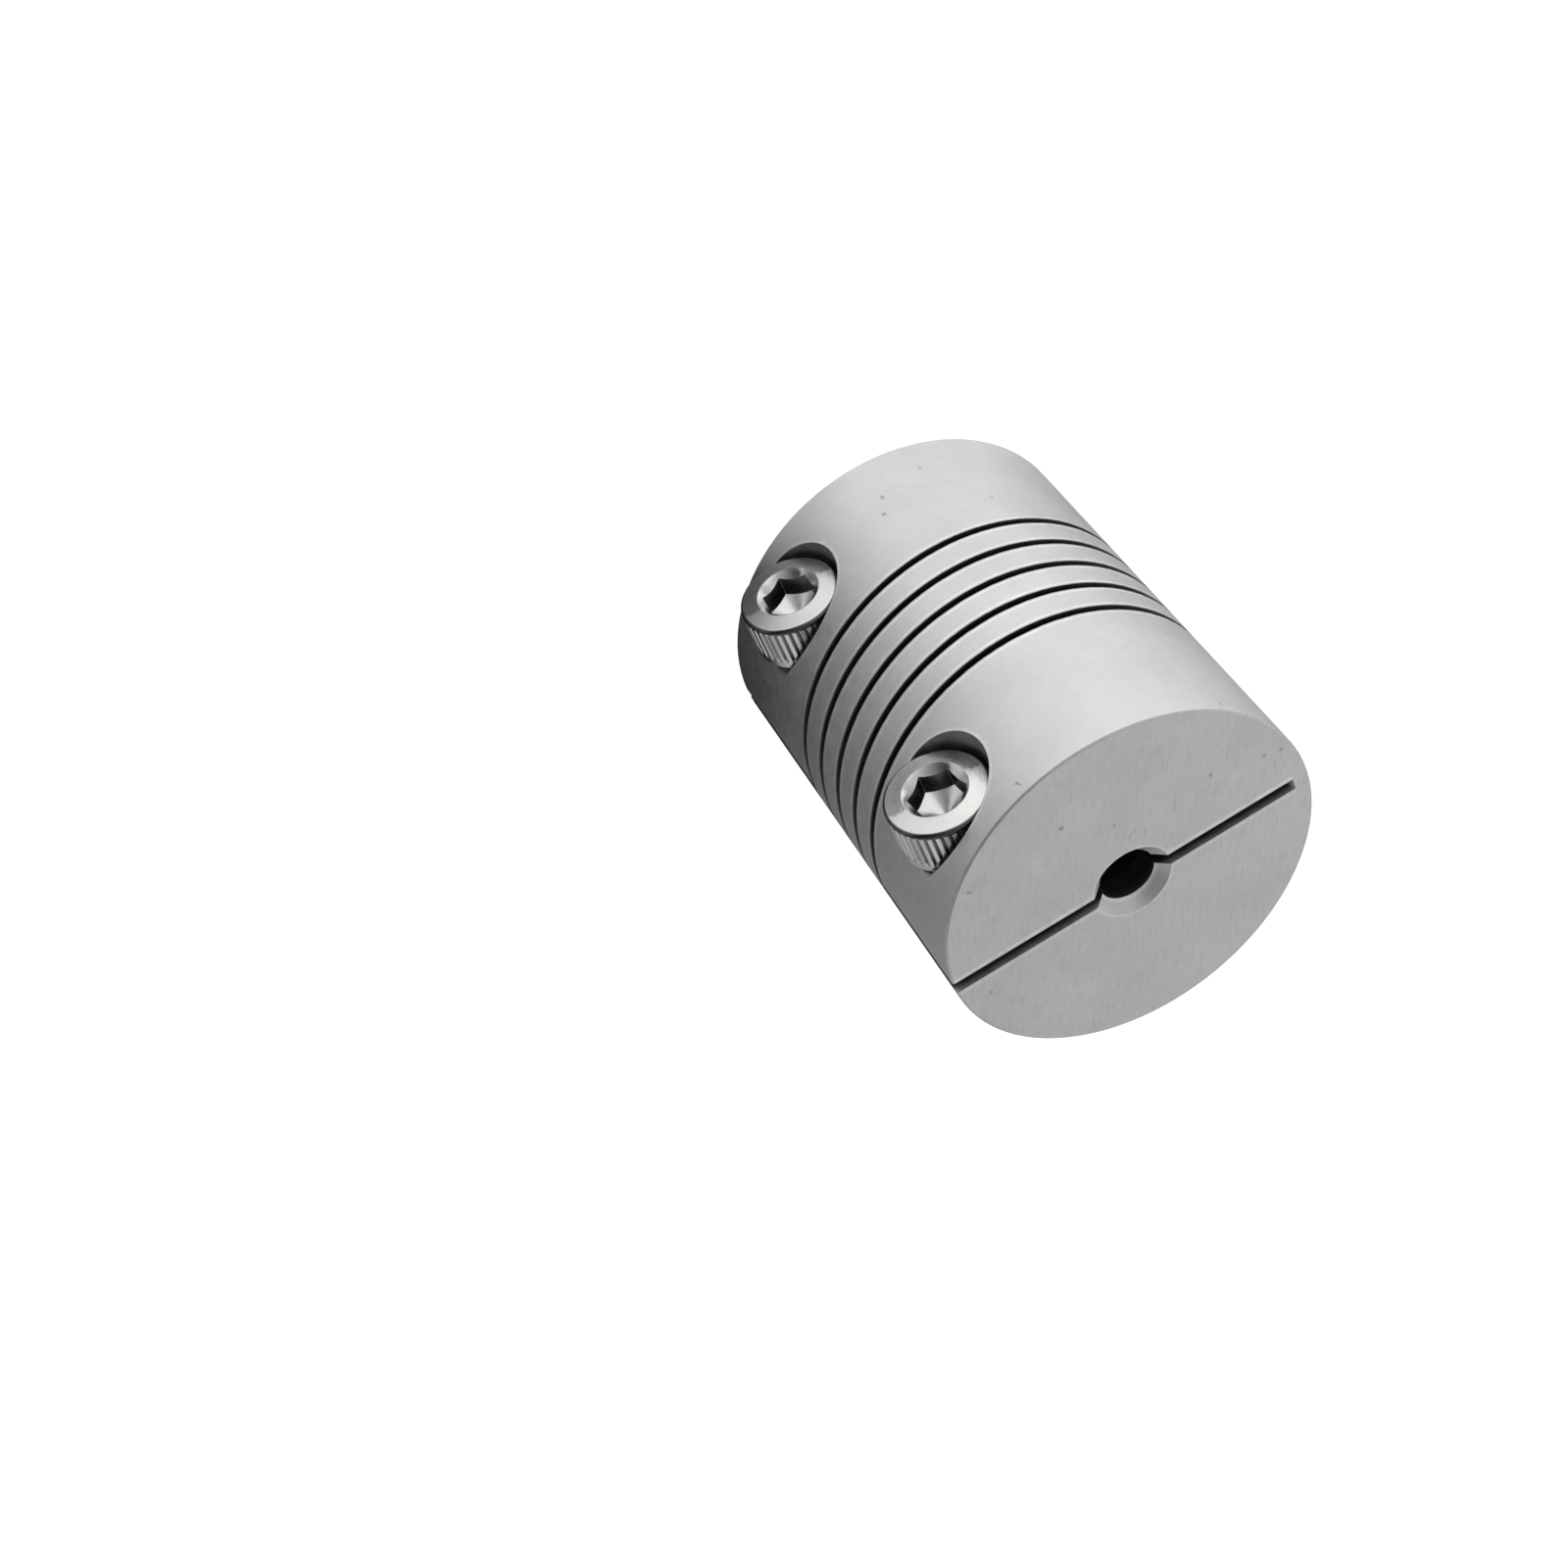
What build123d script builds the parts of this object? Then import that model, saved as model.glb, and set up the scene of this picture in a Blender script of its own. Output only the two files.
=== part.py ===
"""Helical beam coupling: one slit aluminium body that joins two shafts, and its two clamp screws.

Frame, in millimetres: the origin is the centre of the rear end face and +Z runs along the shaft axis to the
front end face. Both clamp slots lie in the XZ plane and open towards +X, and both screw heads face -Y.
"""
from build123d import *
import math
import os

# Body
outer_diameter = 20.0
overall_length = 25.0
rim_chamfer = 0.1
bore_diameter = 3.0
bore_chamfer = 0.6

# Helical cut, centred along the length: right-handed, one start
slit_width = 0.4
slit_pitch = 2.0
slit_turns = 5.0
slit_start_azimuth = 90.0

# Clamp slots: a saw disc is fed in from the open side, across the bore and just into the helical cut there.
# It stops where its round rim leaves a hinge at -X
slot_width = 0.7
saw_diameter = 28.0
hinge_thickness = 0.85

# Clamp screws, M3 x 10 socket head cap screws
thread_diameter = 3.0
screw_length = 10.0
screw_tip_chamfer = 0.4
head_diameter = 5.3
head_height = 3.0
head_top_chamfer = 0.2
head_foot_chamfer = 0.15
socket_width = 2.5
socket_depth = 1.4
socket_mouth_diameter = 3.3
socket_mouth_angle = 45.0
socket_point_angle = 60.0

# How each screw was left: run in but not done up, so its head stands a little off its seat
socket_turns = {"front": 40.0, "rear": 28.0}
head_standoffs = {"front": 0.1, "rear": 0.4}

# Seats of the screws
screw_edge_distance = 3.75
screw_end_distance = 4.15
seat_height = 5.2
seat_clearance = 0.23
hole_clearance = 0.2
thread_clearance = 0.03

outer_radius = outer_diameter / 2
bore_radius = bore_diameter / 2
head_radius = head_diameter / 2
thread_radius = thread_diameter / 2
screw_offset = outer_radius - screw_edge_distance
slit_height = slit_pitch * slit_turns
slit_start_z = (overall_length - slit_height) / 2
slit_end_azimuth = slit_start_azimuth + 360.0 * slit_turns
open_side_azimuth = 0.0
CUT_PAST = 1.0  # how far a cutter runs past the face that it breaks through


def turned_bar():
    """The bar as it leaves the lathe: chamfered rims and a through bore with chamfered mouths."""
    outline = Polyline(
        (bore_radius, 0, bore_chamfer),
        (bore_radius + bore_chamfer, 0, 0),
        (outer_radius - rim_chamfer, 0, 0),
        (outer_radius, 0, rim_chamfer),
        (outer_radius, 0, overall_length - rim_chamfer),
        (outer_radius - rim_chamfer, 0, overall_length),
        (bore_radius + bore_chamfer, 0, overall_length),
        (bore_radius, 0, overall_length - bore_chamfer),
        close=True,
    )
    return revolve(make_face(outline), Axis.Z)


def helical_slit():
    """The cut that makes the flexure: a flat ribbon of slit_width that climbs around the shaft axis."""
    inner = bore_radius / 2
    outer = outer_radius + CUT_PAST
    path_radius = (inner + outer) / 2
    path = Helix(slit_pitch, slit_height, path_radius)
    ribbon_end = Plane(origin=(path_radius, 0, 0), x_dir=(1, 0, 0), z_dir=(0, 1, 0))
    section = ribbon_end * Rectangle(outer - inner, slit_width)
    ribbon = sweep(section, path, is_frenet=True)
    return Pos(0, 0, slit_start_z) * Rot(0, 0, slit_start_azimuth) * ribbon


def slit_rise(azimuth_swept):
    """How far the helical cut climbs over an angle of less than one turn, in degrees."""
    return slit_pitch * (azimuth_swept % 360.0) / 360.0


def clamp_slot(end):
    """The saw cut that splits one hub: a flat floor on the open side, then the disc's rim up to the end face."""
    if end == "rear":
        depth_of_cut = slit_start_z + slit_rise(open_side_azimuth - slit_start_azimuth)
    else:
        depth_of_cut = slit_start_z + slit_rise(slit_end_azimuth - open_side_azimuth)
    depth = depth_of_cut + slit_width / 4
    saw_radius = saw_diameter / 2
    height_over_face = saw_radius - depth
    reach_along_face = math.sqrt(saw_radius**2 - height_over_face**2)
    saw_stop_x = hinge_thickness - outer_radius + reach_along_face
    disc = Rot(90, 0, 0) * Cylinder(saw_radius, slot_width)
    feed = Box(
        outer_radius + CUT_PAST - saw_stop_x,
        slot_width,
        saw_radius,
        align=(Align.MIN, Align.CENTER, Align.MIN),
    )
    slot = Pos(saw_stop_x, 0, -height_over_face) * (disc + feed)
    if end == "rear":
        return slot
    return Pos(0, 0, overall_length) * slot.mirror(Plane.XY)


def screw_seat(end):
    """The plane under one screw head: its normal is the way out along the screw, towards -Y."""
    height = screw_end_distance if end == "rear" else overall_length - screw_end_distance
    return Plane(origin=(screw_offset, -seat_height, height), x_dir=(1, 0, 0), z_dir=(0, -1, 0))


def screw_hole(end):
    """Counterbore and clearance hole in the near jaw, and the tapped hole right through the far jaw."""
    seat = screw_seat(end)
    counterbore = Cylinder(
        head_radius + seat_clearance,
        outer_radius - seat_height + CUT_PAST,
        align=(Align.CENTER, Align.CENTER, Align.MIN),
    )
    clearance_hole = Cylinder(
        thread_radius + hole_clearance,
        seat_height,
        align=(Align.CENTER, Align.CENTER, Align.MAX),
    )
    tapped_hole = Cylinder(
        thread_radius,
        seat_height + outer_radius + CUT_PAST,
        align=(Align.CENTER, Align.CENTER, Align.MAX),
    )
    return seat * (counterbore + clearance_hole + tapped_hole)


def coupling_body():
    body = turned_bar() - helical_slit()
    for end in ("rear", "front"):
        body -= clamp_slot(end)
        body -= screw_hole(end)
    return body


def hex_socket(turn):
    """The key socket, as a pointed hexagonal punch leaves it under a countersunk mouth."""
    corner_radius = socket_width / 2 / math.cos(math.radians(30.0))
    mouth_radius = socket_mouth_diameter / 2
    mouth_depth = mouth_radius / math.tan(math.radians(socket_mouth_angle))
    point_depth = corner_radius / math.tan(math.radians(socket_point_angle))
    full_depth = socket_depth + point_depth
    pointed_outline = Polyline(
        (0, 0, 0),
        (corner_radius, 0, 0),
        (corner_radius, 0, -socket_depth),
        (0, 0, -full_depth),
        close=True,
    )
    pointed_rod = revolve(make_face(pointed_outline), Axis.Z)
    hexagon = extrude(RegularPolygon(corner_radius, 6, rotation=turn), -full_depth)
    mouth = Pos(0, 0, -mouth_depth / 2) * Cone(0, mouth_radius, mouth_depth)
    top = Pos(0, 0, head_height)
    return top * ((hexagon & pointed_rod) + mouth)


def clamp_screw(end):
    """One socket head cap screw, run in over its seat. The shank is plain, at the thread's outside size."""
    shank_radius = thread_radius - thread_clearance
    outline = Polyline(
        (0, 0, -screw_length),
        (shank_radius - screw_tip_chamfer, 0, -screw_length),
        (shank_radius, 0, screw_tip_chamfer - screw_length),
        (shank_radius, 0, 0),
        (head_radius - head_foot_chamfer, 0, 0),
        (head_radius, 0, head_foot_chamfer),
        (head_radius, 0, head_height - head_top_chamfer),
        (head_radius - head_top_chamfer, 0, head_height),
        (0, 0, head_height),
        close=True,
    )
    blank = revolve(make_face(outline), Axis.Z)
    screw = blank - hex_socket(socket_turns[end])
    return screw_seat(end) * Pos(0, 0, head_standoffs[end]) * screw


pieces = {
    "coupling_body": coupling_body(),
    "front_clamp_screw": clamp_screw("front"),
    "rear_clamp_screw": clamp_screw("rear"),
}

os.makedirs("parts", exist_ok=True)
for name, piece in pieces.items():
    export_step(piece, f"parts/{name}.step")
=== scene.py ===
"""Looks of the helical beam coupling: the camera, the studio, the metals and the detailed clamp screws.

Lengths are in metres, in the CAD frame: +Z along the shaft axis, both clamp slots open towards +X, and both
screw heads face -Y. Shader trees work in millimetres.
"""
import bpy
import math
from mathutils import Matrix, Vector


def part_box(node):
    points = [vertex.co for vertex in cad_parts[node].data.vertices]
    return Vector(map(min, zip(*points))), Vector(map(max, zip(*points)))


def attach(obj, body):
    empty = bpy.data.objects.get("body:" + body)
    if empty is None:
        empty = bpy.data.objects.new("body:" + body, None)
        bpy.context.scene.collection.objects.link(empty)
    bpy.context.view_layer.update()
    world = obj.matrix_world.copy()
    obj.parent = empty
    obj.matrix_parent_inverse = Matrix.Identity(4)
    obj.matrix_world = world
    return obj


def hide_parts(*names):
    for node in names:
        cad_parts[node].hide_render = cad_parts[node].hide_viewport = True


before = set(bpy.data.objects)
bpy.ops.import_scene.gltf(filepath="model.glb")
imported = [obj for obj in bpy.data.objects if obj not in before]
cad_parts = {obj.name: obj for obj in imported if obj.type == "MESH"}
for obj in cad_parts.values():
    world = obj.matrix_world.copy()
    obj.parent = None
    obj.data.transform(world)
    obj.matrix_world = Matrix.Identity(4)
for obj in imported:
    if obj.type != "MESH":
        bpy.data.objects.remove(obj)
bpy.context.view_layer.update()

MM = 0.001

# The body, as the frame gives it
body_low, body_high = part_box("coupling_body")
body_radius = (body_high.x - body_low.x) / 2
body_length = body_high.z - body_low.z

# Camera: from the front end and the screw side, rolled so that the front end points down and right
CAMERA_LENS_MM = 60.53
CAMERA_AZIMUTH = math.radians(-78.625)
CAMERA_REACH = 100.468 * MM
CAMERA_HEIGHT = 103.585 * MM
LOOK_DIRECTION = Vector((-0.06234, 0.71407, -0.6973))
CAMERA_ROLL = math.radians(145.68)
SENSOR_MM = 36.0

# Studio: one soft lamp, a pale room, and on the table a painted pool of light and painted shadow that only
# the metal's reflections see
LAMP_SIDE = Vector((-0.39, -0.90, 0.20))
LAMP_DISTANCE = 0.5
LAMP_SIZE = 0.3
LAMP_WATTS = 0.1
FLOOR_HALF_SIZE = 4.0
FLOOR_DROP = 0.02 * MM
FLOOR_WHITE = 0.9
FLOOR_GLOW_SEEN = 0.8

# The room as the metal sees it. Each line is a glow's direction, the two cosines between which it grows, and
# its strength
ROOM_GLOWS = [
    ((-0.07, 0.73, 0.68), 0.2, 0.95, 0.25),
    ((0.0, 0.0, 1.0), 0.2, 0.95, 0.23),
    ((-0.77, -0.64, 0.0), 0.2, 0.95, 0.48),
    ((0.0, -1.0, 0.12), 0.6, 0.99, 0.14),
    ((-0.71, 0.71, 0.12), 0.6, 0.99, 0.55),
    ((0.71, 0.71, 0.06), 0.6, 0.99, 0.3),
]
ROOM_EVEN_LIGHT = 0.03
ROOM_LIGHT_ON_MATT = 0.45

# Painted light on the table, seen only in the metal's reflections: a painted pool of light on the lamp's side
# and a painted shadow in the coupling's shade. Each line is an azimuth in degrees, the brightness close to
# the coupling and the brightness further out.
# These levels, and most strengths of the glows above, were fitted by a program outside this script. Some were
# then changed.
PAINTED_FLOOR_LIGHT = [
    (-180, 0.36, 0.90),
    (-135, 1.00, 1.20),
    (-90, 0.98, 1.04),
    (-45, 0.06, 0.66),
    (0, 0.0, 0.30),
    (45, 0.06, 0.33),
    (90, 0.12, 0.24),
    (135, 0.06, 0.14),
    (180, 0.36, 0.90),
]
CLOSE_MM = 12.0
FAR_MM = 40.0

# Body, in millimetres as its shader uses them
SKIN_RADIUS = body_radius / MM
LENGTH = body_length / MM
BORE_RADIUS = 1.5
CHAMFER_RADIUS = 2.1
CUT_HALF_WIDTH = 0.2
CUT_PITCH = 2.0
CUT_START_Z = 7.5
CUT_END_Z = 17.5
CUT_START_TURN = 0.25
SLOT_HALF_WIDTH = 0.35
HINGE_THICKNESS = 0.85
SEAT_X = 6.25
SEAT_FROM_END = 4.15
SEAT_RADIUS = 2.88
THREAD_START_Y = 0.36
THREAD_HOLE_RADIUS = 1.52
FLEXURE_HALF_LENGTH = 5.3
SOFT_EDGE_RADIUS = 0.035

# Marks on the body that the photograph shows, in millimetres
SKIN_PITS = [(-92, 3.2), (-89, 4.4), (-107, 2.2), (-120, 5.9), (-71, 24.2), (-84, 16.6), (-135, 24.4)]
FACE_PITS = [(-9.0, -2.7), (-8.1, -3.0), (-5.3, -3.9), (-0.1, -4.3), (2.3, -6.1), (8.5, 1.6), (7.5, -5.6)]
FACE_SCUFF = (-1.0, -2.8)
PIT_CORE = 0.06
PIT_EDGE = 0.14
SCUFF_RADIUS = 0.42
FILE_MARK_AZIMUTH = math.radians(70.245)

# Painted edge highlights: how far each bright line's middle is from the edge, and half its width
SLOT_LINE = (0.16, 0.13)
CUT_LINE = (0.17, 0.11)
LIP_LINE = (0.06, 0.1)
MOUTH_LINE = (0.04, 0.1)
SEAT_LINE = (0.08, 0.1)
SEAT_LINE_FADE = 1.6

# Clamp screws, M3 x 10
HEAD_HEIGHT = 3.0 * MM
FACE_RADIUS = 2.5 * MM
FACE_SLOPE = 0.2
HEAD_CHAMFER_DROP = 0.14 * MM
HEAD_EDGE_ROUND = 0.05 * MM
FOOT_ROUND = 0.13 * MM
SOCKET_WIDTH = 2.5 * MM
SOCKET_DEPTH = 1.4 * MM
SOCKET_POINT_ANGLE = math.radians(60)
MOUTH_RADIUS = 1.65 * MM
LIP_ROUND = 0.05 * MM
KNURL_TEETH = 40
KNURL_DEPTH = 0.12 * MM
KNURL_LOW = 0.48 * MM
KNURL_HIGH = 2.62 * MM
KNURL_RUN_OUT = 0.16 * MM
GROOVE_WIDTH = 0.26
THREAD_PITCH = 0.5 * MM
THREAD_OUTER_RADIUS = 1.47 * MM
THREAD_DEPTH = 0.27 * MM
THREAD_RUN_OUT = 0.6 * MM
SCREW_TIP_CHAMFER = 0.4 * MM
THREAD_ROOT_FLAT = 0.1
THREAD_FLANK = 0.75
THREAD_FADE_START = 0.1 * MM
SHARP_EDGE_ANGLE = math.radians(32)
SOCKET_TURNS = {"front_clamp_screw": math.radians(40), "rear_clamp_screw": math.radians(28)}


def add_camera():
    """The camera looks along LOOK_DIRECTION and is rolled about it, as the coupling lies in its picture."""
    data = bpy.data.cameras.new("camera")
    data.lens = CAMERA_LENS_MM
    data.sensor_width = SENSOR_MM
    data.clip_start = 10 * MM
    data.clip_end = 10.0
    camera = bpy.data.objects.new("camera", data)
    bpy.context.scene.collection.objects.link(camera)
    upright = LOOK_DIRECTION.to_track_quat("-Z", "Y")
    roll = Matrix.Rotation(CAMERA_ROLL, 4, "Z")
    place = Matrix.Translation(
        (
            CAMERA_REACH * math.cos(CAMERA_AZIMUTH),
            CAMERA_REACH * math.sin(CAMERA_AZIMUTH),
            CAMERA_HEIGHT,
        )
    )
    camera.matrix_world = place @ upright.to_matrix().to_4x4() @ roll
    bpy.context.scene.camera = camera


class Shader:
    """A small builder: it makes nodes in one material or world and joins them by name."""

    def __init__(self, tree):
        self.tree = tree
        self.nodes = tree.nodes
        self.nodes.clear()

    def add(self, kind, inputs=None, **settings):
        node = self.nodes.new(kind)
        for key, value in settings.items():
            setattr(node, key, value)
        for key, value in (inputs or {}).items():
            if isinstance(value, bpy.types.NodeSocket):
                self.tree.links.new(value, node.inputs[key])
            else:
                node.inputs[key].default_value = value
        return node

    def math(self, operation, *values):
        return self.add("ShaderNodeMath", dict(enumerate(values)), operation=operation).outputs[0]

    def plus(self, first, second):
        return self.math("ADD", first, second)

    def minus(self, first, second):
        return self.math("SUBTRACT", first, second)

    def times(self, first, *others):
        for other in others:
            first = self.math("MULTIPLY", first, other)
        return first

    def most(self, first, *others):
        for other in others:
            first = self.math("MAXIMUM", first, other)
        return first

    def range(self, value, low, high, to_low=0.0, to_high=1.0, smooth=False):
        """value taken from low..high to to_low..to_high, and held at the ends."""
        kind = "SMOOTHSTEP" if smooth else "LINEAR"
        inputs = {0: value, 1: low, 2: high, 3: to_low, 4: to_high}
        return self.add("ShaderNodeMapRange", inputs, interpolation_type=kind).outputs[0]

    def noise(self, vector, scale, detail=2.0, roughness=0.5):
        inputs = {"Vector": vector, "Scale": scale, "Detail": detail, "Roughness": roughness}
        return self.add("ShaderNodeTexNoise", inputs).outputs[0]

    def vector(self, x, y, z):
        return self.add("ShaderNodeCombineXYZ", {0: x, 1: y, 2: z}).outputs[0]

    def mix(self, factor, first, second):
        node = self.add("ShaderNodeMix", {0: factor, 2: first, 3: second}, data_type="FLOAT")
        return node.outputs[0]

    def places(self):
        """The point on the object in millimetres, as a vector and as x, y and z."""
        place = self.add("ShaderNodeTexCoord").outputs["Object"]
        mm = self.add("ShaderNodeVectorMath", {0: place, 3: 1 / MM}, operation="SCALE").outputs[0]
        xyz = self.add("ShaderNodeSeparateXYZ", {0: mm}).outputs
        return mm, xyz[0], xyz[1], xyz[2]

    def length(self, a, b):
        return self.math("SQRT", self.plus(self.times(a, a), self.times(b, b)))

    def dot(self, first, second):
        node = self.add("ShaderNodeVectorMath", {0: first, 1: second}, operation="DOT_PRODUCT")
        return node.outputs["Value"]

    def distance(self, mm, point):
        return self.add("ShaderNodeVectorMath", {0: mm, 1: point}, operation="DISTANCE").outputs["Value"]

    def finish(self, colour, roughness, height, **more):
        """Metal with a bumped surface and softened edges."""
        soft_edges = self.add("ShaderNodeBevel", {"Radius": SOFT_EDGE_RADIUS * MM}, samples=4)
        inputs = {"Height": height, "Distance": MM, "Strength": 1.0, "Normal": soft_edges.outputs[0]}
        bump = self.add("ShaderNodeBump", inputs)
        inputs = {"Base Color": colour, "Metallic": 1.0, "Roughness": roughness, "Normal": bump.outputs[0]}
        inputs.update(more)
        metal = self.add("ShaderNodeBsdfPrincipled", inputs)
        self.add("ShaderNodeOutputMaterial", {"Surface": metal.outputs[0]})


def grey(value):
    return (value, value, value, 1.0)


def new_material(name):
    material = bpy.data.materials.new(name)
    material.use_nodes = True
    return material, Shader(material.node_tree)


def on_skin(azimuth_degrees, z):
    azimuth = math.radians(azimuth_degrees)
    return (SKIN_RADIUS * math.cos(azimuth), SKIN_RADIUS * math.sin(azimuth), z)


def aluminium():
    """Fine matt blasted aluminium: pits, painted edge highlights and a painted shadow strip beside the cut on
    the skin, straight file marks on the end faces, and painted shade on the walls inside the slots, seats,
    bore and cuts."""
    material, s = new_material("body_aluminium")
    mm, x, y, z = s.places()
    radius = s.length(x, y)
    from_middle = s.math("ABSOLUTE", s.minus(z, LENGTH / 2))

    # Where the point lies: on the turned skin, on an end face, on the bore's chamfer, or inside a cut
    normal = s.add("ShaderNodeTexCoord").outputs["Normal"]
    out_from_axis = s.times(s.dot(normal, s.vector(x, y, 0.0)), 1 / SKIN_RADIUS)
    skin = s.times(s.range(out_from_axis, 0.55, 0.65), s.range(radius, SKIN_RADIUS - 0.2, SKIN_RADIUS - 0.15))
    face = s.range(from_middle, LENGTH / 2 - 0.02, LENGTH / 2 - 0.01)
    chamfer = s.times(
        s.range(radius, CHAMFER_RADIUS + 0.05, CHAMFER_RADIUS + 0.1, 1.0, 0.0),
        s.range(s.math("ABSOLUTE", s.dot(normal, (0.0, 0.0, 1.0))), 0.5, 0.6),
        s.range(from_middle, LENGTH / 2 - 0.62, LENGTH / 2 - 0.6),
    )
    outside = s.most(skin, face, chamfer)

    # Colour: soft mottling at three sizes
    clouds = s.noise(mm, 0.28, 3.0, 0.55)
    mottle = s.noise(mm, 1.6, 4.0, 0.6)
    grain = s.noise(mm, 11.0, 3.0, 0.7)
    tone = s.plus(s.range(clouds, 0.3, 0.7, 0.72, 0.78), s.range(mottle, 0.25, 0.75, -0.035, 0.035))
    tone = s.plus(tone, s.range(grain, 0.3, 0.7, -0.035, 0.035))

    # Short straight marks on the end faces, all along one direction
    mark_x = math.cos(FILE_MARK_AZIMUTH)
    mark_y = math.sin(FILE_MARK_AZIMUTH)
    along = s.plus(s.times(x, mark_x), s.times(y, mark_y))
    across = s.minus(s.times(x, mark_y), s.times(y, mark_x))
    streaks = s.noise(s.vector(s.times(across, 5.0), s.times(along, 0.8), z), 1.0, 3.0, 0.65)
    streaks = s.times(s.range(streaks, 0.5, 0.78), face)
    tone = s.minus(tone, s.times(streaks, 0.1))

    # Pits and a scuff: the ones that show, and a scatter of smaller ones
    pit = s.times(scattered_pits(s, mm), outside)
    pit, scuff = placed_marks(s, mm, mottle, pit)
    tone = s.minus(tone, s.times(s.most(pit, s.times(scuff, 0.5)), 0.28))

    # Painted highlights: thin bright lines painted along the edges
    from_cut, cut_there = distance_from_cut(s, x, y, z)
    flexure_skin = s.times(cut_there, skin)
    edge = painted_edge_highlights(s, x, y, radius, from_middle, skin, face, chamfer)
    cut_line_place, cut_line_half_width = CUT_LINE
    from_line = s.math("ABSOLUTE", s.minus(from_cut, CUT_HALF_WIDTH + cut_line_place))
    painted_cut_highlight = s.range(from_line, 0.03, cut_line_half_width, 1.0, 0.0)
    edge = s.most(edge, s.times(painted_cut_highlight, flexure_skin))
    edge = s.times(edge, s.range(mottle, 0.35, 0.6, 0.45, 1.0))
    tone = s.plus(tone, s.times(edge, 0.2))
    # Painted shadow: a dark strip on the skin beside the helical cut
    painted_cut_shadow = s.times(s.range(from_cut, CUT_HALF_WIDTH + 0.02, CUT_HALF_WIDTH + 0.09, 1.0, 0.0), flexure_skin)
    tone = s.times(tone, s.minus(1.0, s.times(painted_cut_shadow, s.range(mottle, 0.35, 0.6, 0.2, 0.6))))

    # Painted shade on the cut walls: darker than the skin in the screw seats, in the slots light near the end
    # face and darker deeper in, nearly black in the bore, and in the narrow helical cut darkening to nearly
    # black with depth
    flexure = s.times(
        s.range(from_middle, FLEXURE_HALF_LENGTH, FLEXURE_HALF_LENGTH + 0.2, 1.0, 0.0),
        s.range(radius, BORE_RADIUS + 0.1, BORE_RADIUS + 0.2),
    )
    bore = s.range(radius, BORE_RADIUS + 0.01, BORE_RADIUS + 0.05, 1.0, 0.0)
    drill_rings = s.noise(s.vector(0.0, 0.0, s.times(z, 1.7)), 1.0, 2.0, 0.6)
    deep = s.range(s.minus(LENGTH / 2, from_middle), 0.15, 0.5)
    in_slot = s.math("LESS_THAN", s.math("ABSOLUTE", y), SLOT_HALF_WIDTH + 0.05)
    wall = s.range(mottle, 0.35, 0.65, 0.42, 0.56)
    wall = s.mix(in_slot, wall, s.mix(deep, s.range(grain, 0.3, 0.7, 0.75, 0.95), 0.16))
    wall = s.mix(bore, wall, s.range(drill_rings, 0.4, 0.7, 0.1, 0.3))
    wall = s.mix(flexure, wall, s.range(s.minus(SKIN_RADIUS, radius), 0.05, 0.35, 0.3, 0.04))
    tone = s.mix(outside, wall, tone)
    colour = s.vector(tone, tone, s.times(tone, 1.005))
    roughness = s.plus(s.range(mottle, 0.3, 0.7, 0.46, 0.54), s.range(grain, 0.3, 0.7, -0.03, 0.03))

    height = s.minus(s.times(grain, 0.005), s.times(streaks, 0.004))
    height = s.minus(height, s.times(pit, 0.03))
    height = s.plus(height, s.times(bore, drill_rings, 0.02))
    height = s.plus(height, screw_hole_relief(s, x, y, z, radius))
    s.finish(colour, roughness, height)
    return material


def placed_marks(s, mm, mottle, pit):
    """The pits at their named places, with the pits given, and the scuff: a broken ring on the front face."""
    ragged = s.add("ShaderNodeTexNoise", {"Vector": mm, "Scale": 7.0, "Detail": 2.0}).outputs[1]
    ragged = s.add("ShaderNodeVectorMath", {0: ragged, 1: (0.5, 0.5, 0.5)}, operation="SUBTRACT").outputs[0]
    ragged = s.add("ShaderNodeVectorMath", {0: ragged, 3: 0.5}, operation="SCALE").outputs[0]
    ragged = s.add("ShaderNodeVectorMath", {0: ragged, 1: mm}, operation="ADD").outputs[0]
    places = [(on_skin(*place), 0.8) for place in SKIN_PITS]
    places += [((*place, LENGTH), 0.9) for place in FACE_PITS]
    for place, depth in places:
        pit = s.most(pit, s.range(s.distance(ragged, place), PIT_CORE, PIT_EDGE, depth, 0.0))
    scuff_radius = s.distance(ragged, (*FACE_SCUFF, LENGTH))
    scuff = s.range(s.math("ABSOLUTE", s.minus(scuff_radius, SCUFF_RADIUS)), 0.03, 0.1, 1.0, 0.0)
    return pit, s.times(scuff, s.range(mottle, 0.45, 0.6))


def scattered_pits(s, mm):
    """Small round pits, one in some of the cells."""
    cells = s.add("ShaderNodeTexVoronoi", {"Vector": mm, "Scale": 0.7, "Randomness": 1.0})
    chance = s.add("ShaderNodeSeparateColor", {0: cells.outputs["Color"]}).outputs
    size = s.range(chance[1], 0.0, 1.0, 0.02, 0.06)
    pit = s.range(s.minus(cells.outputs["Distance"], size), -0.03, 0.01, 1.0, 0.0)
    return s.times(pit, s.math("LESS_THAN", chance[0], 0.25), 0.6)


def distance_from_cut(s, x, y, z):
    """How far along Z the point is from the middle of the helical cut, in millimetres, and whether the cut is
    there: past its two ends it isn't."""
    turn = s.times(s.math("ARCTAN2", y, x), 1 / (2 * math.pi))
    phase = s.minus(s.times(s.minus(z, CUT_START_Z), 1 / CUT_PITCH), s.minus(turn, CUT_START_TURN))
    from_cut = s.times(s.minus(phase, s.math("ROUND", phase)), CUT_PITCH)
    cut_z = s.minus(z, from_cut)
    there = s.times(s.math("GREATER_THAN", cut_z, CUT_START_Z), s.math("LESS_THAN", cut_z, CUT_END_Z))
    return s.math("ABSOLUTE", from_cut), there


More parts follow.
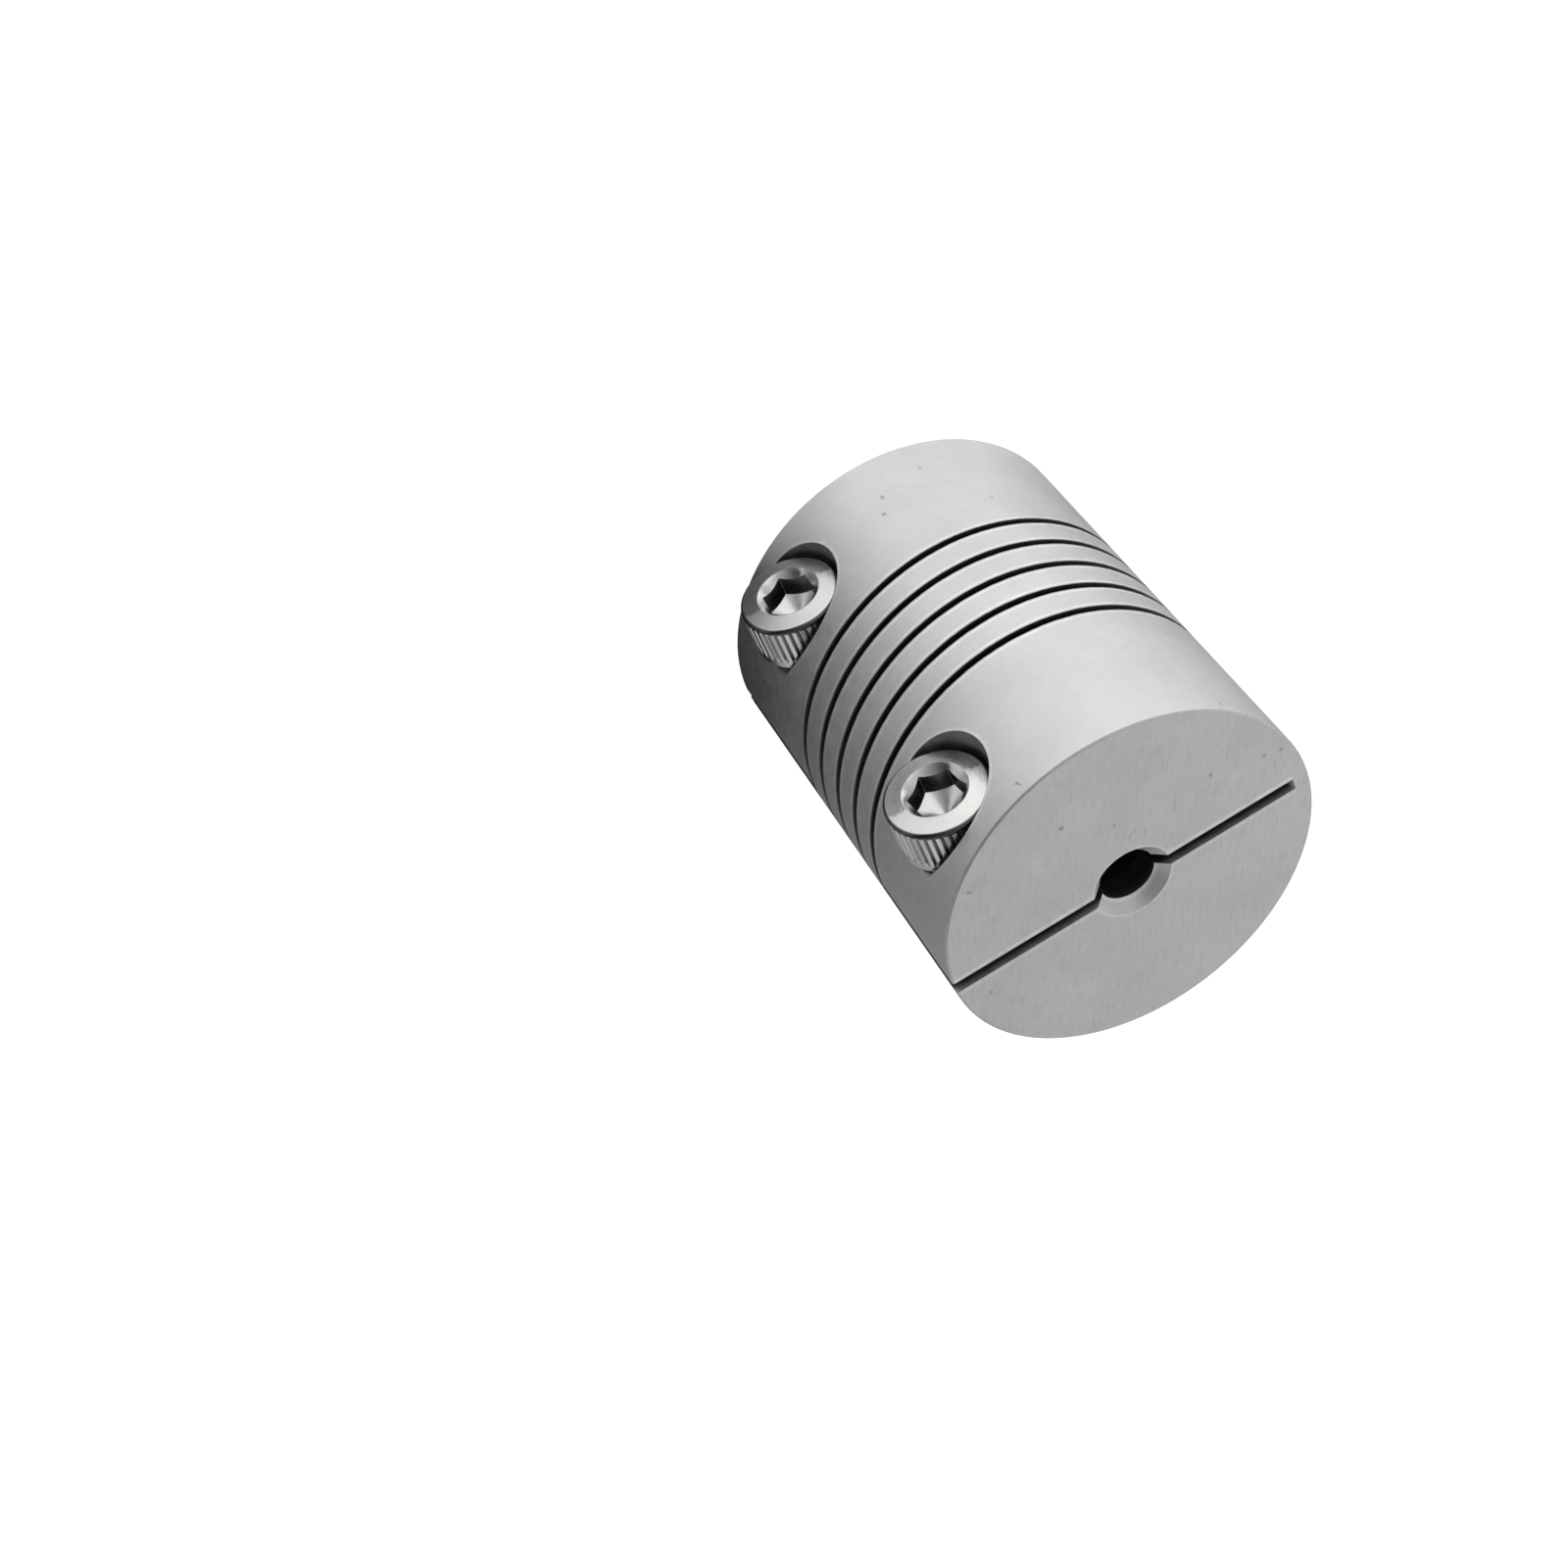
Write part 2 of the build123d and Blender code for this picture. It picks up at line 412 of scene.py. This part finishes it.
def painted_edge_highlights(s, x, y, radius, from_middle, skin, face, chamfer):
    """Painted highlights: thin bright lines along the clamp slots, the bore's two edges and the screw seats.
    """
    screw_side = s.math("LESS_THAN", y, 0.0)

    def line(value, edge, place_and_half_width):
        place, half_width = place_and_half_width
        from_line = s.math("ABSOLUTE", s.minus(value, edge + place))
        return s.range(from_line, half_width / 2, half_width, 1.0, 0.0)

    slot = s.times(line(s.math("ABSOLUTE", y), SLOT_HALF_WIDTH, SLOT_LINE), face)
    blind_end = HINGE_THICKNESS - SKIN_RADIUS
    past_chamfer = s.range(radius, CHAMFER_RADIUS - 0.1, CHAMFER_RADIUS)
    slot = s.times(slot, s.range(x, blind_end, blind_end + 0.05), past_chamfer)
    # Painted highlight made brighter on the screws' side of each slot
    slot = s.times(slot, s.mix(screw_side, 0.5, 1.2))
    lip = s.times(line(radius, BORE_RADIUS, LIP_LINE), chamfer)
    mouth = s.times(line(radius, CHAMFER_RADIUS, MOUTH_LINE), face, 0.7)
    from_seat = s.length(s.minus(x, SEAT_X), s.minus(from_middle, LENGTH / 2 - SEAT_FROM_END))
    fade = s.range(x, SEAT_X + SEAT_LINE_FADE, SEAT_X, 0.15, 0.7)
    seat = s.times(line(from_seat, SEAT_RADIUS, SEAT_LINE), skin, screw_side, fade)
    return s.most(slot, lip, mouth, seat)


def screw_hole_relief(s, x, y, z, radius):
    """Bump of the tapped holes' threads and of the turned marks in the screw seats."""
    upper = s.math("GREATER_THAN", z, LENGTH / 2)
    seat_z = s.mix(upper, SEAT_FROM_END, LENGTH - SEAT_FROM_END)
    across = s.minus(x, SEAT_X)
    up = s.minus(z, seat_z)
    from_axis = s.length(across, up)
    in_hole = s.range(from_axis, THREAD_HOLE_RADIUS, THREAD_HOLE_RADIUS + 0.03, 1.0, 0.0)
    in_hole = s.times(in_hole, s.math("GREATER_THAN", y, THREAD_START_Y))
    turn = s.times(s.math("ARCTAN2", up, across), 1 / (2 * math.pi))
    thread = s.math("PINGPONG", s.plus(s.times(y, MM / THREAD_PITCH), turn), 0.5)
    in_seat = s.range(from_axis, SEAT_RADIUS, SEAT_RADIUS + 0.02, 1.0, 0.0)
    in_seat = s.times(in_seat, s.math("LESS_THAN", y, 0.0))
    in_seat = s.times(in_seat, s.range(radius, SKIN_RADIUS - 0.1, SKIN_RADIUS - 0.05, 1.0, 0.0))
    turned = s.noise(s.vector(s.times(from_axis, 9.0), s.times(y, 9.0), 0.0), 1.0, 2.0, 0.6)
    return s.plus(s.times(in_hole, thread, 0.5), s.times(in_seat, turned, 0.012))


def steel():
    """Bright stainless steel: a turned head face with painted shade on one half, painted shade on the
    broached socket's walls, in the knurl grooves and on the head's rim, and a duller thread."""
    material, s = new_material("screw_steel")
    mm, x, y, z = s.places()
    radius = s.length(x, y)
    head = HEAD_HEIGHT / MM
    on_face = s.times(s.range(radius, 1.62, 1.7), s.range(z, head - 0.2, head - 0.15))
    below_mouth = s.range(z, head - 0.16, head - 0.1, 1.0, 0.0)
    socket = s.times(s.range(radius, 1.42, 1.46, 1.0, 0.0), s.range(z, 1.3, 1.32), below_mouth)
    steep = s.add("ShaderNodeSeparateXYZ", {0: s.add("ShaderNodeTexCoord").outputs["Normal"]}).outputs[2]
    wall = s.times(socket, s.range(s.math("ABSOLUTE", steep), 0.3, 0.5, 1.0, 0.0))
    rings = s.noise(s.vector(s.times(radius, 16.0), 0.0, 0.0), 1.0, 3.0, 0.7)
    mottle = s.noise(mm, 2.2, 4.0, 0.6)
    grain = s.noise(mm, 16.0, 3.0, 0.7)
    tone = s.plus(s.range(mottle, 0.3, 0.7, 0.76, 0.88), s.range(grain, 0.3, 0.7, -0.03, 0.03))
    # Painted shade: one half of the turned face, taken by the local Y side, is painted darker
    painted_shade_half = s.range(s.plus(y, s.times(s.minus(mottle, 0.5), 1.2)), 0.12, -0.2, 0.0, 1.0, smooth=True)
    painted_shade_half = s.times(painted_shade_half, on_face)
    tone = s.minus(tone, s.times(painted_shade_half, s.range(rings, 0.35, 0.65, 0.25, 0.55)))
    tone = s.minus(tone, s.times(on_face, s.range(mottle, 0.5, 0.7), 0.1))
    # Painted shade: the knurl's groove bottoms painted dark
    groove = s.times(s.range(radius, 2.53, 2.64, 1.0, 0.0), s.range(radius, 2.2, 2.3))
    groove = s.times(groove, s.range(z, 0.3, 0.35), s.range(z, 2.7, 2.75, 1.0, 0.0))
    tone = s.mix(groove, tone, 0.25)
    # Painted shade: the socket's walls painted nearly black
    tone = s.mix(wall, tone, 0.09)
    # Painted shade: a dark line painted round the head's rim
    rim = s.times(s.range(radius, 2.5, 2.54), s.range(z, 2.52, 2.58))
    tone = s.mix(rim, tone, 0.12)
    shank = s.range(z, -0.02, 0.0, 1.0, 0.0)
    tone = s.mix(shank, tone, s.times(tone, 0.75))
    colour = s.vector(tone, s.times(tone, 0.995), s.times(tone, 0.975))
    roughness = s.plus(s.range(mottle, 0.3, 0.7, 0.19, 0.27), s.range(grain, 0.3, 0.7, -0.03, 0.03))
    roughness = s.plus(roughness, s.times(groove, 0.15))
    height = s.plus(s.times(on_face, rings, 0.01), s.times(grain, 0.0015))
    around = s.add("ShaderNodeTangent", direction_type="RADIAL", axis="Z").outputs[0]
    brushed = {"Anisotropic": s.times(on_face, 0.7), "Anisotropic Rotation": 0.25, "Tangent": around}
    s.finish(colour, roughness, height, **brushed)
    return material


def arc(centre, radius, start, end, steps):
    """Points (radius from the axis, height) round a small arc, with angles in degrees."""
    points = []
    for step in range(steps + 1):
        angle = math.radians(start + (end - start) * step / steps)
        points.append((centre[0] + radius * math.cos(angle), centre[1] + radius * math.sin(angle)))
    return points


def smooth_step(value, low, high):
    t = min(max((value - low) / (high - low), 0.0), 1.0)
    return t * t * (3 - 2 * t)


def socket_wall(angle):
    """Distance from the axis to the six-sided wall, in the direction given from a corner."""
    flat = math.pi / 3
    return SOCKET_WIDTH / 2 / math.cos(angle % flat - flat / 2)


def socket_corner():
    return SOCKET_WIDTH / 2 / math.cos(math.pi / 6)


def socket_rings():
    """Rings of the socket from its point outwards and up to the mouth's lip.

    Each ring is a function from the angle to (radius, height above the seat).
    """
    rings = []

    def wall_foot(wall):
        return HEAD_HEIGHT - SOCKET_DEPTH - (socket_corner() - wall) / math.tan(SOCKET_POINT_ANGLE)

    def point_ring(share):
        def ring(angle):
            wall = socket_wall(angle)
            drop = wall * (1 - share) / math.tan(SOCKET_POINT_ANGLE)
            return wall * share, wall_foot(wall) - drop
        return ring

    def wall_ring(share):
        def ring(angle):
            wall = socket_wall(angle)
            top = HEAD_HEIGHT - (MOUTH_RADIUS - wall)
            low = wall_foot(wall)
            return wall, low + (top - low) * share
        return ring

    def mouth_ring(share):
        def ring(angle):
            wall = socket_wall(angle)
            radius = wall + (MOUTH_RADIUS - LIP_ROUND / 2 - wall) * share
            return radius, HEAD_HEIGHT - (MOUTH_RADIUS - radius)
        return ring

    rings += [point_ring(share) for share in (0.08, 0.5, 0.94)]
    rings += [wall_ring(share) for share in (0.0, 0.04, 0.5, 0.96, 1.0)]
    rings += [mouth_ring(share) for share in (0.06, 0.5, 1.0)]
    return rings


def plain_ring(radius, height):
    return lambda angle: (radius, height)


def face_height(radius):
    """The head's turned face falls off a little from the socket's lip to its rim."""
    return HEAD_HEIGHT - FACE_SLOPE * (radius - MOUTH_RADIUS)


def head_rings(head_radius):
    """Rings of the head from the lip outwards, over the chamfer and down the knurled side to the seat."""
    rings = [plain_ring(MOUTH_RADIUS + LIP_ROUND / 3, HEAD_HEIGHT)]
    for radius in (MOUTH_RADIUS + LIP_ROUND, FACE_RADIUS - HEAD_EDGE_ROUND, FACE_RADIUS):
        rings.append(plain_ring(radius, face_height(radius)))
    low_edge = face_height(FACE_RADIUS) - HEAD_CHAMFER_DROP
    rings.append(plain_ring(head_radius - HEAD_EDGE_ROUND, low_edge + HEAD_EDGE_ROUND))
    rings.append(plain_ring(head_radius - HEAD_EDGE_ROUND / 4, low_edge + HEAD_EDGE_ROUND / 3))
    rings.append(plain_ring(head_radius, low_edge - HEAD_EDGE_ROUND / 2))

    def knurl_ring(height):
        cut = smooth_step(height, KNURL_LOW, KNURL_LOW + KNURL_RUN_OUT)
        cut *= 1 - smooth_step(height, KNURL_HIGH - KNURL_RUN_OUT, KNURL_HIGH)

        def ring(angle):
            phase = (angle * KNURL_TEETH / (2 * math.pi)) % 1.0
            from_groove = min(phase, 1 - phase)
            groove = 1 - smooth_step(from_groove, 0.0, GROOVE_WIDTH)
            return head_radius - KNURL_DEPTH * cut * groove, height
        return ring

    knurl_steps = 24
    knurl_top = low_edge - HEAD_EDGE_ROUND
    knurl_foot = FOOT_ROUND + HEAD_EDGE_ROUND
    for step in range(knurl_steps + 1):
        rings.append(knurl_ring(knurl_top + (knurl_foot - knurl_top) * step / knurl_steps))
    centre = (head_radius - FOOT_ROUND, FOOT_ROUND)
    rings += [plain_ring(*point) for point in arc(centre, FOOT_ROUND, 0, -90, 5)]
    return rings


def thread_radius_at(angle, height, length):
    """The right-handed thread's radius: sixty-degree ridges that fade out at both ends of the shank."""
    phase = (height / THREAD_PITCH - angle / (2 * math.pi)) % 1.0
    ridge = 1 - 2 * abs(phase - 0.5)
    ridge = min(max((ridge - THREAD_ROOT_FLAT) / THREAD_FLANK, 0.0), 1.0)
    full = smooth_step(-height, THREAD_FADE_START, THREAD_RUN_OUT)
    depth = THREAD_DEPTH * (1 - ridge) * full
    chamfer = max(SCREW_TIP_CHAMFER - (length + height), 0.0)
    return min(THREAD_OUTER_RADIUS - depth, THREAD_OUTER_RADIUS - chamfer)


def screw_mesh(name, head_radius, shank_length, turn):
    """A closed mesh of one screw in its own frame: the axis is Z and the seat is at height 0."""
    head_sides = 480
    shank_sides = 96
    rows_per_turn = 10
    vertices = []
    faces = []

    def put_ring(ring, sides):
        first = len(vertices)
        for side in range(sides):
            angle = 2 * math.pi * side / sides
            radius, height = ring(angle)
            vertices.append((radius * math.cos(angle + turn), radius * math.sin(angle + turn), height))
        return first

    def join(upper, lower, sides):
        for side in range(sides):
            after = (side + 1) % sides
            faces.append((upper + side, lower + side, lower + after, upper + after))

    socket_point = socket_corner() / math.tan(SOCKET_POINT_ANGLE)
    vertices.append((0.0, 0.0, HEAD_HEIGHT - SOCKET_DEPTH - socket_point))
    starts = [put_ring(ring, head_sides) for ring in socket_rings() + head_rings(head_radius)]
    for side in range(head_sides):
        faces.append((0, starts[0] + side, starts[0] + (side + 1) % head_sides))
    for upper, lower in zip(starts, starts[1:]):
        join(upper, lower, head_sides)

    # The flat underside steps down from many sides to fewer
    ratio = head_sides // shank_sides
    outer = starts[-1]
    inner = put_ring(plain_ring(THREAD_OUTER_RADIUS, 0.0), shank_sides)
    for side in range(shank_sides):
        after = (side + 1) % shank_sides
        for part in range(ratio):
            from_side = side * ratio + part
            to_side = (from_side + 1) % head_sides
            faces.append((outer + from_side, inner + side, outer + to_side))
        faces.append((outer + after * ratio, inner + side, inner + after))

    rows = round(shank_length / THREAD_PITCH * rows_per_turn)
    upper = inner
    for row in range(1, rows + 1):
        height = -shank_length * row / rows
        lower = put_ring(lambda angle: (thread_radius_at(angle, height, shank_length), height), shank_sides)
        join(upper, lower, shank_sides)
        upper = lower
    tip = len(vertices)
    vertices.append((0.0, 0.0, -shank_length))
    for side in range(shank_sides):
        faces.append((upper + side, tip, upper + (side + 1) % shank_sides))

    mesh = bpy.data.meshes.new(name)
    mesh.from_pydata(vertices, [], faces)
    mesh.polygons.foreach_set("use_smooth", [True] * len(mesh.polygons))
    mesh.set_sharp_from_angle(angle=SHARP_EDGE_ANGLE)
    mesh.validate()
    return mesh


def add_screw(node, metal):
    """The detailed screw that stands for one CAD screw, placed by the CAD screw's own box."""
    low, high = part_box(node)
    head_radius = (high.x - low.x) / 2
    middle = Vector(((low.x + high.x) / 2, low.y + HEAD_HEIGHT, (low.z + high.z) / 2))
    shank_length = high.y - middle.y
    name = node + "_detail"
    mesh = screw_mesh(name, head_radius, shank_length, SOCKET_TURNS[node])
    mesh.materials.append(metal)
    screw = bpy.data.objects.new(name, mesh)
    out_of_seat = Matrix(((1, 0, 0, 0), (0, 0, -1, 0), (0, 1, 0, 0), (0, 0, 0, 1)))
    screw.matrix_world = Matrix.Translation(middle) @ out_of_seat
    bpy.context.scene.collection.objects.link(screw)
    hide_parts(node)
    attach(screw, "root")


def painted_light_by_azimuth(s, azimuth, column):
    """One column of the painted table light, read off by the azimuth as a share of a turn from -180 degrees.
    """
    ramp = s.add("ShaderNodeValToRGB", {0: azimuth})
    stops = ramp.color_ramp.elements
    while len(stops) < len(PAINTED_FLOOR_LIGHT):
        stops.new(0.5)
    for stop, row in zip(stops, PAINTED_FLOOR_LIGHT):
        stop.position = (row[0] + 180) / 360
    for stop, row in zip(stops, PAINTED_FLOOR_LIGHT):
        stop.color = grey(row[column] / 2)
    return s.times(ramp.outputs[0], 2.0)


def add_floor():
    """A plain white table under the coupling's rear end, wide enough to fill every view.

    To the metal's reflections it glows with painted light: a painted pool of light on the lamp's side and a
    painted shadow in the coupling's own shade.
    """
    size = FLOOR_HALF_SIZE
    mesh = bpy.data.meshes.new("floor")
    corners = [(-size, -size, 0), (size, -size, 0), (size, size, 0), (-size, size, 0)]
    mesh.from_pydata(corners, [], [(0, 1, 2, 3)])
    floor = bpy.data.objects.new("floor", mesh)
    bpy.context.scene.collection.objects.link(floor)
    material, s = new_material("floor_white")
    _, x, y, _ = s.places()
    distance = s.length(x, y)
    azimuth = s.times(s.math("ARCTAN2", y, x), 1 / (2 * math.pi))
    azimuth = s.plus(azimuth, 0.5)
    # Painted light for reflections: brighter on the lamp's side, a painted shadow in the coupling's shade,
    # close and far levels blended by distance
    painted_near_light = painted_light_by_azimuth(s, azimuth, 1)
    painted_far_light = painted_light_by_azimuth(s, azimuth, 2)
    painted_floor_glow = s.mix(s.range(distance, CLOSE_MM, FAR_MM), painted_near_light, painted_far_light)
    rays = s.add("ShaderNodeLightPath").outputs
    seen = s.times(rays["Is Camera Ray"], FLOOR_GLOW_SEEN)
    mirrored = s.most(rays["Is Glossy Ray"], rays["Is Transmission Ray"])
    strength = s.plus(seen, s.times(mirrored, painted_floor_glow))
    paper = s.add("ShaderNodeBsdfDiffuse", {"Color": grey(FLOOR_WHITE)})
    dark = s.add("ShaderNodeBsdfDiffuse", {"Color": grey(0.0)})
    surface = s.add("ShaderNodeMixShader", {0: mirrored, 1: paper.outputs[0], 2: dark.outputs[0]})
    glow = s.add("ShaderNodeEmission", {"Color": grey(1.0), "Strength": strength})
    both = s.add("ShaderNodeAddShader", {0: surface.outputs[0], 1: glow.outputs[0]})
    s.add("ShaderNodeOutputMaterial", {"Surface": both.outputs[0]})
    mesh.materials.append(material)
    floor.location.z = -FLOOR_DROP


def add_world():
    """White to the camera; to the metal a pale room, darkest on the side away from the lamp."""
    world = bpy.data.worlds.new("studio")
    bpy.context.scene.world = world
    world.use_nodes = True
    s = Shader(world.node_tree)
    direction = s.add("ShaderNodeTexCoord").outputs["Generated"]

    room = ROOM_EVEN_LIGHT
    for towards, low, high, bright in ROOM_GLOWS:
        aim = tuple(Vector(towards).normalized())
        room = s.plus(room, s.range(s.dot(direction, aim), low, high, 0.0, bright, smooth=True))
    rays = s.add("ShaderNodeLightPath").outputs
    mirrored = s.most(rays["Is Glossy Ray"], rays["Is Transmission Ray"])
    strength = s.mix(mirrored, ROOM_LIGHT_ON_MATT, room)
    strength = s.mix(rays["Is Camera Ray"], strength, 1.0)
    background = s.add("ShaderNodeBackground", {"Color": grey(1.0), "Strength": strength})
    s.add("ShaderNodeOutputWorld", {"Surface": background.outputs[0]})


def add_softbox(name, towards, distance, size, watts):
    """A square soft light that faces the middle of the coupling from the direction given."""
    data = bpy.data.lights.new(name, "AREA")
    data.shape = "SQUARE"
    data.size = size
    data.energy = watts
    light = bpy.data.objects.new(name, data)
    middle = Vector((0, 0, body_length / 2))
    direction = Vector(towards).normalized()
    light.location = middle + direction * distance
    light.rotation_mode = "QUATERNION"
    light.rotation_quaternion = (-direction).to_track_quat("-Z", "Y")
    bpy.context.scene.collection.objects.link(light)


add_camera()
add_world()
add_floor()
add_softbox("key", LAMP_SIDE, LAMP_DISTANCE, LAMP_SIZE, LAMP_WATTS)
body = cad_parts["coupling_body"]
body.data.materials.clear()
body.data.materials.append(aluminium())
screw_metal = steel()
add_screw("front_clamp_screw", screw_metal)
add_screw("rear_clamp_screw", screw_metal)

bpy.context.scene.view_settings.view_transform = "Standard"
